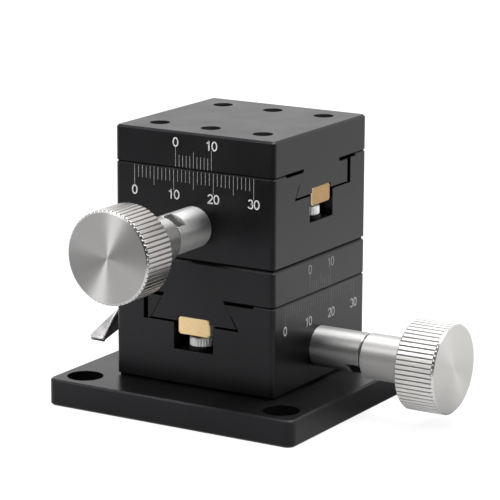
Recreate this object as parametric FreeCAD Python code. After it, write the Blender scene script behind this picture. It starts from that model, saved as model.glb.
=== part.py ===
"""XY translation stage: two equal dovetail stages with rack-and-pinion drive, crossed on a base plate.

Lengths are in millimetres and +Z is up. The origin is the centre of the base plate's underside. +X
points along the lower knob's shaft, and -Y along the upper knob's shaft.

Both stages are the same unit. It is modelled once in its own frame: its travel is along X, its knob
and scale are on the -Y side, its gib and lock are on the +Y side, and its underside is at Z = 0. The
upper unit keeps that direction, and the lower one is turned a quarter turn about Z.
"""
import FreeCAD
import Part
import math
import os
from FreeCAD import Vector

# Fits
slide_gap = 0.03          # between ways that slide on each other
running_gap = 0.03        # radial, shaft in its bush
seat_gap = 0.02           # radial, between pieces that are pressed or clamped together
thread_gap = 0.05         # radial, screw in its tapped hole
bolt_gap = 0.2            # radial, screw in its clearance hole

# Base plate
base_width = 62.0
base_thickness = 6.0
base_corner_radius = 2.0
base_edge = 0.4
base_bolt_spacing = 50.0
base_bolt_radius = 2.25
base_counterbore_radius = 4.0
base_counterbore_depth = 4.2

# Stage unit
stage_width = 40.0
stage_height = 28.0
parting_height = 20.0     # where the slider rides on the body
corner_radius = 1.0
block_edge = 0.3          # small chamfer round the blocks
foot_step = 0.5           # width and height of the rebate round the underside of each unit
top_edge = 0.45           # larger chamfer round the top of the slider
travel = 10.0             # each way from the middle

# Dovetail
flank_angle = 60.0
dovetail_top_width = 15.2
dovetail_height = 5.6
dovetail_floor_gap = 0.5
undercut_depth = 0.25     # of the fixed flank, below the height that bears
undercut_height = 3.2
dovetail_edge = 0.25
way_width = 5.0           # each outer way that carries the slider
way_relief = 0.5

# Gib
gib_back = 12.0           # from the middle of the stage to the gib's back
gib_back_gap = 0.85
gib_top_gap = 0.2         # from the relieved top of the body down to the gib
gib_end_gap = 0.2
gib_end_bevel = 0.2
gib_screw_end = 8.0       # from the end of the stage
gib_screw_recess = 2.0    # below the body's face

# Slot for the rack
slot_width = 10.0
slot_clearance = 0.6      # from the heads of the body screws up to the rack

# Rack and pinion
gear_module = 0.5
pinion_teeth = 19
pressure_angle = 20.0
tooth_backlash = 0.05
rack_width = 8.0
rack_inset = 1.1          # depth of the rack's groove in the dovetail
rack_root_height = 2.9    # rack above its tooth roots
rack_corner = 0.45
rack_end_gap = 0.1
rack_plain_end = 5.5      # length without teeth at each end

# Pinion gear and its shaft
gear_width = 6.0
gear_collar_radius = 3.4
gear_hub_radius = 3.7
gear_end_gap = 0.2
shaft_radius = 2.5
pocket_gap = 0.4

# Bush
bush_radius = 4.5
bush_reach = 12.0         # outside the body
bush_eccentricity = 0.4
bush_edge = 0.3
bush_flat_width = 8.0     # across the two wrench flats
bush_flat_length = 3.3
bush_flat_turn = {"lower": 38.0, "upper": 27.0}

# Knob
washer_thickness = 0.9
washer_radius = 4.0
washer_gap = 0.1
hub_radius = 5.0
hub_length = 10.6
knob_radius = 10.0
knob_length = 9.2
knob_rim = 0.35            # plain rim at each end of the flutes
knob_rim_step = 0.05      # from the bottom of the flutes down to the rim
knob_bevel = 0.25
knob_bore_depth = 17.0
flute_count = 60
flute_depth = 0.32
flute_width = 0.55

# Lock
lever_length = 23.0
lever_hub_radius = 4.25
lever_hub_length = 3.4
lever_standoff = 0.6
lever_thickness = 1.4
lever_tip_radius = 0.9
lever_drop = 24.0         # how far the tip hangs below level, in degrees
flap_start = 9.0
flap_start_width = 0.5
flap_width = 3.6
flap_corner = 1.6
lock_pad_length = 1.4

# Top holes, tapped M4
top_hole_spacing = 13.0
top_hole_radius = 1.65
top_hole_mouth = 2.25
top_hole_depth = 5.0

# Screws: M3 and the smaller sizes inside
m3_radius = 1.5
m3_head_radius = 2.75
m3_head_height = 3.0
m3_low_head_height = 2.0
m3_key = 2.0
m3_set_key = 1.5
key_depth = 1.2
m2_radius = 1.0
body_screw_end = 3.5      # from the end of the stage
body_screw_tip_gap = 0.9  # from the tip to the end of the tapped hole
tapped_depth = 4.0
spring_washer_radius = 2.95
spring_washer_thickness = 0.9
spring_washer_slit = 0.5
rack_screw_radius = 1.25
rack_screw_head_radius = 2.2
rack_screw_length = 7.0
rack_screw_end = 2.8      # from the rack's end
knob_screw_place = 5.0    # from the hub's inner end
bush_screw_place = 9.5    # from the body's face

# Travel stop
stop_pin_radius = 1.25
stop_pin_place = 12.6     # from the middle, on the scale side
stop_pin_depth = 5.0
stop_pocket_depth = 1.8
stop_pin_top_gap = 0.2

# Levels and places that follow from the sizes above
half = stage_width / 2
flank_slope = 1 / math.tan(math.radians(flank_angle))
flank_gap = slide_gap / math.sin(math.radians(flank_angle))
groove_floor = parting_height - dovetail_height - dovetail_floor_gap
dovetail_bottom = parting_height - dovetail_height
relief_level = parting_height - way_relief
undercut_level = groove_floor + undercut_height
gib_top = relief_level - gib_top_gap
gib_middle = (groove_floor + gib_top) / 2
gib_wall = gib_back + gib_back_gap

pitch_radius = gear_module * pinion_teeth / 2
addendum = gear_module
dedendum = 1.25 * gear_module
tooth_pitch = math.pi * gear_module
rack_top = dovetail_bottom + rack_inset
rack_bottom = rack_top - rack_root_height - addendum - dedendum
pinion_height = rack_bottom + addendum - pitch_radius
bush_height = pinion_height + bush_eccentricity
body_screw_seat = rack_bottom - slot_clearance - m3_low_head_height
slot_floor = body_screw_seat - spring_washer_thickness
body_screw_offset = half - body_screw_end
gib_screw_offset = half - gib_screw_end

washer_start = half + bush_reach + washer_gap
hub_start = washer_start + washer_thickness
knob_start = hub_start + hub_length

unit_bottom = {"lower": base_thickness, "upper": base_thickness + stage_height}
unit_turn = {"lower": 90.0, "upper": 0.0}


def box(x, y, z):
    """Block between a low and a high value on each axis."""
    return Part.makeBox(x[1] - x[0], y[1] - y[0], z[1] - z[0], Vector(x[0], y[0], z[0]))


def rod(radius, start, end):
    """Round bar between two points."""
    along = Vector(*end).sub(Vector(*start))
    return Part.makeCylinder(radius, along.Length, Vector(*start), along)


def bar(outline, length):
    """Bar along X, centred, with an outline of (y, z) points."""
    points = [Vector(-length / 2, y, z) for y, z in outline]
    return Part.Face(Part.makePolygon(points + points[:1])).extrude(Vector(length, 0, 0))


def turned(outline, origin, direction):
    """Turned piece: its outline is (distance along the axis, radius) pairs, measured from the origin."""
    points = [Vector(radius, 0, distance) for distance, radius in outline]
    solid = Part.Face(Part.makePolygon(points + points[:1])).revolve(Vector(0, 0, 0), Vector(0, 0, 1), 360)
    turn = FreeCAD.Rotation(Vector(0, 0, 1), Vector(*direction))
    solid.Placement = FreeCAD.Placement(Vector(*origin), turn)
    return solid


def hexagon(across_flats, start, end):
    """Hexagonal bar between two points, such as the room for a key."""
    along = Vector(*end).sub(Vector(*start))
    radius = across_flats / math.sqrt(3)
    corners = [Vector(radius * math.cos(math.radians(60 * n)), radius * math.sin(math.radians(60 * n)), 0)
               for n in range(7)]
    solid = Part.Face(Part.makePolygon(corners)).extrude(Vector(0, 0, along.Length))
    solid.Placement = FreeCAD.Placement(Vector(*start), FreeCAD.Rotation(Vector(0, 0, 1), along))
    return solid


def set_screw(radius, key, tip, end):
    """Headless screw from its tip to the end that takes the key."""
    back = Vector(*tip).sub(Vector(*end))
    back.normalize()
    floor = Vector(*end).add(back.multiply(key_depth))
    return rod(radius, tip, end).cut(hexagon(key, tuple(floor), end))


def block(width, bottom, top, radius, lower_edge, upper_edge):
    """Square block with rounded upright corners, and chamfers round its lower and its upper face."""
    solid = box((-width / 2, width / 2), (-width / 2, width / 2), (bottom, top))
    upright = [e for e in solid.Edges if abs(e.Vertexes[0].Z - e.Vertexes[1].Z) > 0.5 * (top - bottom)]
    solid = solid.makeFillet(radius, upright)
    for level, size in ((bottom, lower_edge), (top, upper_edge)):
        ring = [e for e in solid.Edges if all(abs(v.Z - level) < 1e-6 for v in e.Vertexes)]
        if size:
            solid = solid.makeChamfer(size, ring)
    return solid


def dovetail_half_width(level):
    """Half the width of the male dovetail at a height of the unit."""
    return dovetail_top_width / 2 + (parting_height - level) * flank_slope


def body(stage):
    """Fixed half: groove with one fixed flank, slot for the rack, pinion pocket and bush bore."""
    solid = block(stage_width, foot_step, parting_height, corner_radius, 0, block_edge)
    solid = solid.fuse(block(stage_width - 2 * foot_step, 0, foot_step, corner_radius - foot_step, 0, 0))
    way = half - way_width
    slot = slot_width / 2
    groove = [
        (slot, slot_floor), (slot, groove_floor), (gib_wall, groove_floor), (gib_wall, relief_level),
        (way, relief_level), (way, parting_height + 1), (-way, parting_height + 1), (-way, relief_level),
        (-dovetail_half_width(relief_level) - flank_gap, relief_level),
        (-dovetail_half_width(undercut_level) - flank_gap, undercut_level),
        (-dovetail_half_width(undercut_level) - flank_gap - undercut_depth, undercut_level),
        (-dovetail_half_width(groove_floor) - flank_gap - undercut_depth, groove_floor),
        (-slot, groove_floor), (-slot, slot_floor),
    ]
    solid = solid.cut(bar(groove, stage_width + 2))
    pocket_radius = pitch_radius + addendum + pocket_gap
    solid = solid.cut(rod(pocket_radius, (0, -slot, pinion_height), (0, slot, pinion_height)))
    solid = solid.cut(rod(bush_radius + seat_gap, (0, -half - 1, bush_height), (0, -slot + 1, bush_height)))
    for side in (-1, 1):
        place = side * body_screw_offset
        solid = solid.cut(rod(m3_radius + bolt_gap, (place, 0, -1), (place, 0, slot_floor + 1)))
        place = side * gib_screw_offset
        solid = solid.cut(rod(m3_radius + thread_gap, (place, gib_wall - 1, gib_middle),
                              (place, half + 1, gib_middle)))
    solid = solid.cut(rod(m3_radius + thread_gap, (0, gib_wall - 1, gib_middle), (0, half + 1, gib_middle)))
    solid = solid.cut(rod(m3_radius + thread_gap, (0, -half + bush_screw_place, -1),
                          (0, -half + bush_screw_place, bush_height)))
    solid = solid.cut(rod(stop_pin_radius + seat_gap, (0, -stop_pin_place, relief_level - stop_pin_depth),
                          (0, -stop_pin_place, relief_level + 1)))
    return solid


def slider(stage):
    """Moving half: a plate with the male dovetail under it, the rack's groove and the stop's pocket."""
    underside = parting_height + slide_gap
    solid = block(stage_width, underside, stage_height, corner_radius, block_edge, top_edge)
    low = dovetail_half_width(dovetail_bottom)
    high = dovetail_half_width(parting_height + block_edge)
    step = dovetail_edge * flank_slope
    dovetail = [
        (-high, underside + block_edge), (-high - flank_slope * block_edge, underside),
        (-low + step, dovetail_bottom + dovetail_edge), (-low + dovetail_edge, dovetail_bottom),
        (low - dovetail_edge, dovetail_bottom), (low - step, dovetail_bottom + dovetail_edge),
        (high + flank_slope * block_edge, underside), (high, underside + block_edge),
    ]
    solid = solid.fuse(bar(dovetail, stage_width)).removeSplitter()
    groove = rack_width / 2 + seat_gap
    solid = solid.cut(box((-half - 1, half + 1), (-groove, groove), (dovetail_bottom - 1, rack_top)))
    reach = travel + stop_pin_radius + slide_gap
    side = stop_pin_radius + slide_gap
    pocket_top = parting_height + stop_pocket_depth
    for end in (-1, 1):
        centre = end * (reach - side)
        solid = solid.cut(rod(side, (centre, -stop_pin_place, parting_height - 1),
                              (centre, -stop_pin_place, pocket_top)))
        place = end * (half - rack_end_gap - rack_screw_end)
        solid = solid.cut(rod(rack_screw_radius + thread_gap, (place, 0, rack_top - 1),
                              (place, 0, rack_bottom + rack_screw_length + 1)))
    solid = solid.cut(box((side - reach, reach - side), (-stop_pin_place - side, -stop_pin_place + side),
                          (parting_height - 1, pocket_top)))
    if stage == "lower":
        for end in (-1, 1):
            solid = solid.cut(rod(m3_radius + thread_gap, (0, end * body_screw_offset, stage_height + 1),
                                  (0, end * body_screw_offset, stage_height - tapped_depth)))
    else:
        for column in (-1, 0, 1):
            for row in (-1, 1):
                solid = solid.cut(top_hole(column * top_hole_spacing, row * top_hole_spacing))
    return solid


def top_hole(x, y):
    """Tapped hole with a countersunk mouth in the top of the slider."""
    mouth = top_hole_mouth - top_hole_radius
    outline = [(-1, 0), (-1, top_hole_mouth + 1), (mouth, top_hole_radius), (top_hole_depth, top_hole_radius),
               (top_hole_depth + top_hole_radius / 2, 0)]
    return turned(outline, (x, y, stage_height), (0, 0, -1))


def rack(stage):
    """Brass bar with bevelled edges and straight teeth across the middle of its underside."""
    length = stage_width - 2 * rack_end_gap
    solid = box((-length / 2, length / 2), (-rack_width / 2, rack_width / 2), (rack_bottom, rack_top))
    long_edges = [e for e in solid.Edges if abs(e.Vertexes[0].X - e.Vertexes[1].X) > length / 2]
    solid = solid.makeChamfer(rack_corner, long_edges)
    slant = math.tan(math.radians(pressure_angle))
    middle = rack_bottom + addendum
    root = middle + dedendum
    below = rack_bottom - gear_module
    gap = tooth_pitch / 4 + tooth_backlash / 4
    wide = gap + (middle - below) * slant
    narrow = gap - dedendum * slant
    reach = int((length / 2 - rack_plain_end) / tooth_pitch)
    for n in range(-reach, reach + 1):
        x = n * tooth_pitch
        outline = [(x - wide, below), (x - narrow, root), (x + narrow, root), (x + wide, below), (x - wide, below)]
        face = Part.Face(Part.makePolygon([Vector(px, -rack_width, pz) for px, pz in outline]))
        solid = solid.cut(face.extrude(Vector(0, 2 * rack_width, 0)))
    for end in (-1, 1):
        place = end * (length / 2 - rack_screw_end)
        solid = solid.cut(countersunk((place, 0, rack_bottom), bolt_gap / 2))
    return solid


def countersunk(place, gap):
    """Countersunk screw pointing up, or the hole for it where a gap is given."""
    head = rack_screw_head_radius + gap
    shank = rack_screw_radius + gap
    return turned([(0, 0), (0, head), (head - shank, shank), (rack_screw_length, shank),
                   (rack_screw_length, 0)], place, (0, 0, 1))


def rack_screws(stage):
    """Two countersunk screws through the plain ends of the rack."""
    screws = []
    for end in (-1, 1):
        place = end * (half - rack_end_gap - rack_screw_end)
        screw = countersunk((place, 0, rack_bottom), 0)
        key = hexagon(m3_set_key, (place, 0, rack_bottom - 1), (place, 0, rack_bottom + key_depth))
        screws.append(screw.cut(key))
    return Part.makeCompound(screws)


def gib(stage):
    """Wedge-shaped bar with one flank on the dovetail, an upright back and bevelled ends."""
    bottom = groove_floor + slide_gap
    outline = [(gib_back, bottom), (gib_back, gib_top),
               (dovetail_half_width(gib_top) + flank_gap, gib_top),
               (dovetail_half_width(bottom) + flank_gap, bottom)]
    solid = bar(outline, stage_width - 2 * gib_end_gap)
    end_edges = [e for e in solid.Edges if abs(e.Vertexes[0].X - e.Vertexes[1].X) < gib_end_bevel]
    return solid.makeChamfer(gib_end_bevel, end_edges)


def gib_screws(stage):
    """Two set screws that press the gib on the dovetail."""
    tip = gib_back + slide_gap
    end = half - gib_screw_recess
    return Part.makeCompound([
        set_screw(m3_radius, m3_set_key, (x, tip, gib_middle), (x, end, gib_middle))
        for x in (-gib_screw_offset, gib_screw_offset)])


def lock_pad(stage):
    """Soft pad between the lock screw and the gib."""
    start = gib_back + slide_gap
    return rod(m3_radius - thread_gap, (0, start, gib_middle), (0, start + lock_pad_length, gib_middle))


def lock_screw(stage):
    """Cap screw that the lever turns."""
    tip = gib_back + slide_gap + lock_pad_length + slide_gap
    seat = half + lever_standoff + lever_hub_length - lever_thickness - slide_gap
    end = seat + m3_head_height
    solid = rod(m3_radius - thread_gap, (0, tip, gib_middle), (0, seat, gib_middle))
    solid = solid.fuse(rod(m3_head_radius, (0, seat, gib_middle), (0, end, gib_middle)))
    return solid.cut(hexagon(m3_key, (0, end - key_depth, gib_middle), (0, end, gib_middle)))


def lock_lever(stage):
    """Lever of bent sheet on a round hub: a tapered arm with a flap along its upper edge."""
    face = half + lever_standoff
    outside = face + lever_hub_length
    inside = outside - lever_thickness
    tilt = math.asin((lever_hub_radius - lever_tip_radius) / lever_length)
    upper = Vector(-math.sin(tilt), 0, math.cos(tilt))
    lower = Vector(-math.sin(tilt), 0, -math.cos(tilt))
    hub = Vector(0, inside, 0)
    tip = Vector(-lever_length, inside, 0)

    def around(centre, radius, direction):
        return centre.add(Vector(direction).multiply(radius))

    hub_high = around(hub, lever_hub_radius, upper)
    hub_low = around(hub, lever_hub_radius, lower)
    tip_high = around(tip, lever_tip_radius, upper)
    tip_low = around(tip, lever_tip_radius, lower)
    hub_arc = Part.Arc(hub_high, around(hub, lever_hub_radius, Vector(1, 0, 0)), hub_low).toShape()
    tip_arc = Part.Arc(tip_low, around(tip, lever_tip_radius, Vector(-1, 0, 0)), tip_high).toShape()
    outline = Part.Wire([hub_arc, Part.makeLine(hub_low, tip_low), tip_arc, Part.makeLine(tip_high, hub_high)])
    arm = Part.Face(outline).extrude(Vector(0, lever_thickness, 0))

    edge = tip_high.sub(hub_high)
    edge_length = edge.Length
    edge.normalize()
    out = Vector(0, 1, 0)
    start = hub_high.add(Vector(edge).multiply(flap_start))
    corners = [start,
               tip_high,
               tip_high.add(Vector(out).multiply(lever_thickness + flap_width)),
               start.add(Vector(out).multiply(lever_thickness + flap_start_width))]
    flap = Part.Face(Part.makePolygon(corners + corners[:1])).extrude(Vector(upper).multiply(-lever_thickness))
    outer = max(v.Y for v in flap.Vertexes)
    rounded = [e for e in flap.Edges if all(abs(v.Y - outer) < 1e-6 for v in e.Vertexes)]
    flap = flap.makeFillet(min(flap_corner, 0.4 * flap_width), rounded)

    solid = arm.fuse(flap).removeSplitter()
    solid = solid.fuse(rod(lever_hub_radius, (0, face, 0), (0, inside + lever_thickness / 2, 0)))
    solid = solid.removeSplitter()
    solid = solid.cut(rod(m3_radius + seat_gap, (0, face - 1, 0), (0, outside + 1, 0)))
    solid = solid.cut(rod(m3_head_radius + seat_gap, (0, inside - slide_gap, 0), (0, outside + 1, 0)))
    solid.rotate(Vector(0, 0, 0), Vector(0, 1, 0), -lever_drop)
    solid.translate(Vector(0, 0, gib_middle))
    return solid


def bush(stage):
    """Eccentric sleeve: the shaft's bore lies below the middle, and two flats take a wrench."""
    outer = bush_height
    start = slot_width / 2
    end = half + bush_reach
    length = end - start
    outline = [(0, 0), (0, bush_radius - bush_edge), (bush_edge, bush_radius),
               (length - bush_edge, bush_radius), (length, bush_radius - bush_edge), (length, 0)]
    solid = turned(outline, (0, -start, outer), (0, -1, 0))
    solid = solid.cut(rod(shaft_radius + running_gap, (0, -start + 1, pinion_height), (0, -end - 1, pinion_height)))
    for side in (-1, 1):
        levels = sorted((side * bush_flat_width / 2, side * (bush_radius + 1)))
        flat = box((-bush_radius, bush_radius), (-end - 1, -end + bush_flat_length), levels)
        flat.rotate(Vector(0, 0, 0), Vector(0, 1, 0), bush_flat_turn[stage])
        flat.translate(Vector(0, 0, outer))
        solid = solid.cut(flat)
    return solid


def bush_lock_screw(stage):
    """Set screw from below that holds the bush at its setting."""
    y = -half + bush_screw_place
    tip = bush_height - bush_radius - seat_gap
    return set_screw(m3_radius, m3_set_key, (0, y, tip), (0, y, block_edge))


def pinion_shaft(stage):
    """Plain ground shaft from the gear to the knob."""
    start = slot_width / 2 - 2 * gear_end_gap
    end = hub_start + knob_bore_depth - seat_gap
    return rod(shaft_radius, (0, start, pinion_height), (0, -end, pinion_height))


def gear_outline():
    """Points of the spur gear in (x, z) about its axis, with one tooth pointing straight up."""
    base_radius = pitch_radius * math.cos(math.radians(pressure_angle))
    tip_radius = pitch_radius + addendum
    root_radius = pitch_radius - dedendum

    def involute(radius):
        angle = math.acos(min(1.0, base_radius / radius))
        return math.tan(angle) - angle

    half_tooth = (tooth_pitch / 2 - tooth_backlash / 2) / (2 * pitch_radius)

    def half_angle(radius):
        return half_tooth + involute(pitch_radius) - involute(max(radius, base_radius))

    first = max(base_radius, root_radius)
    flank = [first + (tip_radius - first) * n / 3 for n in range(4)]
    radii = ([root_radius] if root_radius < base_radius else []) + flank
    points = []
    for tooth in range(pinion_teeth):
        middle = math.pi / 2 + 2 * math.pi * tooth / pinion_teeth
        rising = [(r, middle - half_angle(r)) for r in radii]
        falling = [(r, middle + half_angle(r)) for r in reversed(radii)]
        points += [(r * math.cos(a), r * math.sin(a)) for r, a in rising + falling]
    return points


def pinion_gear(stage):
    """Spur gear with a thrust collar towards the bush and a hub that takes its set screw."""
    wall = slot_width / 2
    collar_start = -wall + gear_end_gap
    teeth_start = -rack_width / 2
    teeth_end = teeth_start + gear_width
    hub_end = wall - 2 * gear_end_gap
    points = [Vector(x, teeth_start, pinion_height + z) for x, z in gear_outline()]
    solid = Part.Face(Part.makePolygon(points + points[:1])).extrude(Vector(0, gear_width, 0))
    solid = solid.fuse(rod(gear_collar_radius, (0, collar_start, pinion_height), (0, teeth_start, pinion_height)))
    solid = solid.fuse(rod(gear_hub_radius, (0, teeth_end, pinion_height), (0, hub_end, pinion_height)))
    solid = solid.cut(rod(shaft_radius + seat_gap, (0, -wall, pinion_height), (0, wall, pinion_height)))
    y = (teeth_end + hub_end) / 2
    return solid.cut(rod(m2_radius + thread_gap, (0, y, pinion_height),
                         (0, y, pinion_height + gear_hub_radius + 1)))


def pinion_set_screw(stage):
    """Small set screw in the gear's hub."""
    y = (gear_width - rack_width / 2 + slot_width / 2 - 2 * gear_end_gap) / 2
    return rod(m2_radius, (0, y, pinion_height + shaft_radius + seat_gap),
               (0, y, pinion_height + gear_hub_radius - seat_gap))


def thrust_washer(stage):
    """Dark ring on the shaft between the bush and the knob's hub."""
    start = (0, -washer_start, pinion_height)
    end = (0, -hub_start, pinion_height)
    return rod(washer_radius, start, end).cut(rod(shaft_radius + seat_gap, start, end))


def knob(stage):
    """Turned knob: a smooth hub, and a head with straight flutes between two plain bevelled rims."""
    crest = math.pi * knob_radius * 2 / flute_count - flute_width
    corners = []
    for n in range(flute_count):
        middle = 2 * math.pi * n / flute_count
        for radius, offset in ((knob_radius - flute_depth, 0), (knob_radius, flute_width / 2),
                               (knob_radius, flute_width / 2 + crest)):
            angle = middle + offset / knob_radius
            corners.append((radius * math.cos(angle), radius * math.sin(angle)))
    points = [Vector(x, -knob_start - knob_rim, pinion_height + z) for x, z in corners]
    fluted = Part.Face(Part.makePolygon(points + points[:1])).extrude(Vector(0, 2 * knob_rim - knob_length, 0))
    rim_radius = knob_radius - flute_depth - knob_rim_step
    head = [(0, 0), (0, hub_radius), (hub_length, hub_radius), (hub_length, rim_radius - knob_bevel),
            (hub_length + knob_bevel, rim_radius), (hub_length + knob_length - knob_bevel, rim_radius),
            (hub_length + knob_length, rim_radius - knob_bevel), (hub_length + knob_length, 0)]
    solid = fluted.fuse(turned(head, (0, -hub_start, pinion_height), (0, -1, 0))).removeSplitter()
    bore_end = hub_start + knob_bore_depth
    solid = solid.cut(rod(shaft_radius + seat_gap, (0, -hub_start + 1, pinion_height),
                          (0, -bore_end, pinion_height)))
    y = -hub_start - knob_screw_place
    return solid.cut(rod(m3_radius + thread_gap, (0, y, pinion_height), (0, y, pinion_height - hub_radius - 1)))


def knob_set_screw(stage):
    """Set screw in the underside of the knob's hub."""
    y = -hub_start - knob_screw_place
    return set_screw(m3_radius, m3_set_key, (0, y, pinion_height - shaft_radius - seat_gap),
                     (0, y, pinion_height - hub_radius + block_edge))


def body_screws(stage):
    """Two low-head cap screws in the slot floor that hold the unit down."""
    screws = []
    seat = body_screw_seat
    tip = body_screw_tip_gap - tapped_depth
    end = seat + m3_low_head_height
    for x in (-body_screw_offset, body_screw_offset):
        screw = rod(m3_radius, (x, 0, tip), (x, 0, seat))
        screw = screw.fuse(rod(m3_head_radius, (x, 0, seat), (x, 0, end)))
        screws.append(screw.cut(hexagon(m3_key, (x, 0, end - key_depth), (x, 0, end + 1))))
    return Part.makeCompound(screws)


def spring_washers(stage):
    """Split rings under the heads of the body screws."""
    rings = []
    for x in (-body_screw_offset, body_screw_offset):
        low, high = (x, 0, slot_floor), (x, 0, slot_floor + spring_washer_thickness)
        ring = rod(spring_washer_radius, low, high).cut(rod(m3_radius + seat_gap, low, high))
        inward = -math.copysign(spring_washer_radius + 1, x)
        slit = box(sorted((x, x + inward)), (-spring_washer_slit / 2, spring_washer_slit / 2),
                   (slot_floor, slot_floor + spring_washer_thickness))
        rings.append(ring.cut(slit))
    return Part.makeCompound(rings)


def stop_pin(stage):
    """Dowel pin in the body that ends the slider's travel."""
    return rod(stop_pin_radius, (0, -stop_pin_place, relief_level - stop_pin_depth),
               (0, -stop_pin_place, parting_height + stop_pocket_depth - stop_pin_top_gap))


def base_plate():
    """Square plate with counterbored corner holes and the lower unit's tapped holes."""
    solid = block(base_width, 0, base_thickness, base_corner_radius, base_edge, base_edge)
    step = base_thickness - base_counterbore_depth
    for x in (-base_bolt_spacing / 2, base_bolt_spacing / 2):
        for y in (-base_bolt_spacing / 2, base_bolt_spacing / 2):
            solid = solid.cut(rod(base_bolt_radius, (x, y, -1), (x, y, base_thickness + 1)))
            solid = solid.cut(rod(base_counterbore_radius, (x, y, step), (x, y, base_thickness + 1)))
    for y in (-body_screw_offset, body_screw_offset):
        solid = solid.cut(rod(m3_radius + thread_gap, (0, y, base_thickness - tapped_depth),
                              (0, y, base_thickness + 1)))
    return solid


def placed(shape, stage):
    """Copy of a unit's piece, turned and lifted to its place."""
    shape = shape.copy()
    shape.rotate(Vector(0, 0, 0), Vector(0, 0, 1), unit_turn[stage])
    shape.translate(Vector(0, 0, unit_bottom[stage]))
    return shape


unit_pieces = (body, slider, rack, rack_screws, gib, gib_screws, lock_pad, lock_screw, lock_lever, bush,
               bush_lock_screw, pinion_shaft, pinion_gear, pinion_set_screw, thrust_washer, knob,
               knob_set_screw, body_screws, spring_washers, stop_pin)

os.makedirs("parts", exist_ok=True)
base_plate().exportStep("parts/base_plate.step")
for stage_name in ("lower", "upper"):
    for piece in unit_pieces:
        placed(piece(stage_name), stage_name).exportStep(f"parts/{stage_name}_{piece.__name__}.step")
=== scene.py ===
"""XY translation stage: its looks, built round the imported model.

Lengths are in metres, in the model's frame. The two stages are the same unit, so their pieces are drawn
once in the unit's own frame: travel along X, scale and knob on the -Y side, underside at Z = 0. The upper
unit keeps that direction and the lower one is turned a quarter turn.
"""
import bmesh
import bpy
import math
from mathutils import Matrix, Vector


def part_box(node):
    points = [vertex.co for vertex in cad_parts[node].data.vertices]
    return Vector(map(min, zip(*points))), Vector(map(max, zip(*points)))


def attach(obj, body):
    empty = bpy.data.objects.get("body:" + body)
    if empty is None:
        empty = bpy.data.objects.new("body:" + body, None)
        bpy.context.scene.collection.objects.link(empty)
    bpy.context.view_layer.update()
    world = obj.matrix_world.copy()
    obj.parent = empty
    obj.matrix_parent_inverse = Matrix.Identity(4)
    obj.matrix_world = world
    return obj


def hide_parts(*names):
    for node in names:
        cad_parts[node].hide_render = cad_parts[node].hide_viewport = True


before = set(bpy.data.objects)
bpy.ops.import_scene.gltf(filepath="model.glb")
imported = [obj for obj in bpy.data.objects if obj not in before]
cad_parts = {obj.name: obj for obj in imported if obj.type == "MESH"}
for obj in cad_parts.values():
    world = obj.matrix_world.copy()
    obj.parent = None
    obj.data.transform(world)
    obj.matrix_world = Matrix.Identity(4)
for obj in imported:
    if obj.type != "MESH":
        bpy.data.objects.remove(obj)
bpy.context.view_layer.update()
mm = 0.001


# Camera
# It stands in front of the scale side, a little to the right and above, with a long lens, so that the
# upper knob points towards it and the lower one to the right.
view_azimuth = math.radians(31.10)
view_elevation = math.radians(13.16)
view_roll = math.radians(0.26)
view_distance = 575.1 * mm
view_centre_right = 1.79 * mm
view_centre_height = 32.61 * mm
view_lens = 187.4
sensor_width = 36.0

view_right = Vector((math.cos(view_azimuth), math.sin(view_azimuth), 0))
view_back = Vector((math.sin(view_azimuth) * math.cos(view_elevation),
                    -math.cos(view_azimuth) * math.cos(view_elevation), math.sin(view_elevation)))
view_up = view_back.cross(view_right)
eye = view_right * view_centre_right + Vector((0, 0, view_centre_height)) + view_back * view_distance
rolled_right = view_right * math.cos(view_roll) + view_up * math.sin(view_roll)
rolled_up = view_up * math.cos(view_roll) - view_right * math.sin(view_roll)
camera_data = bpy.data.cameras.new("camera")
camera_data.lens = view_lens
camera_data.sensor_width = sensor_width
camera_data.clip_start = 10 * mm
camera = bpy.data.objects.new("camera", camera_data)
camera_turn = Matrix((rolled_right, rolled_up, view_back)).transposed().to_4x4()
camera.matrix_world = Matrix.Translation(eye) @ camera_turn
bpy.context.scene.collection.objects.link(camera)
bpy.context.scene.camera = camera
bpy.context.scene.view_settings.view_transform = "Standard"


# Room and floor
# A white studio: bright behind, beside and above the object, and dark on the side that the photograph
# was taken from. The pale floor runs out of sight. Both show as plain white, and the floor keeps the shadow.
class Wire:
    """A socket of a shader. Arithmetic on it adds Math nodes, and add() makes every other node."""

    def __init__(self, tree, socket=None):
        self.tree = tree
        self.socket = socket

    def add(self, kind, settings=None, inputs=None, output=0):
        """New node: its settings first, then its sockets' values or links. Gives one of its outputs."""
        node = self.tree.nodes.new(kind)
        for name, value in (settings or {}).items():
            setattr(node, name, value)
        for name, value in (inputs or {}).items():
            if isinstance(value, Wire):
                self.tree.links.new(value.socket, node.inputs[name])
            else:
                node.inputs[name].default_value = value
        return Wire(self.tree, node.outputs[output]) if node.outputs else None

    def maths(self, operation, *values):
        return self.add("ShaderNodeMath", {"operation": operation}, dict(enumerate(values)))

    def __add__(self, other):
        return self.maths("ADD", self, other)

    def __mul__(self, other):
        return self.maths("MULTIPLY", self, other)

    __radd__ = __add__
    __rmul__ = __mul__

    def vector(self, operation, *values, output=0):
        return self.add("ShaderNodeVectorMath", {"operation": operation}, dict(enumerate(values)), output)

    def blend(self, low, high):
        """Colour between two colours, by this value."""
        return self.add("ShaderNodeMix", {"data_type": "RGBA"}, {0: self, 6: low, 7: high}, 2)

    def between(self, low, high, start=0.0, end=1.0):
        """This value, mapped from low..high to start..end and held there."""
        return self.add("ShaderNodeMapRange", None, {0: self, 1: low, 2: high, 3: start, 4: end})

    def noise(self, size, detail=2.0):
        """Noise over this vector, with features of about the given size."""
        return self.add("ShaderNodeTexNoise", None, {"Vector": self, "Scale": 1 / size, "Detail": detail})


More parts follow.
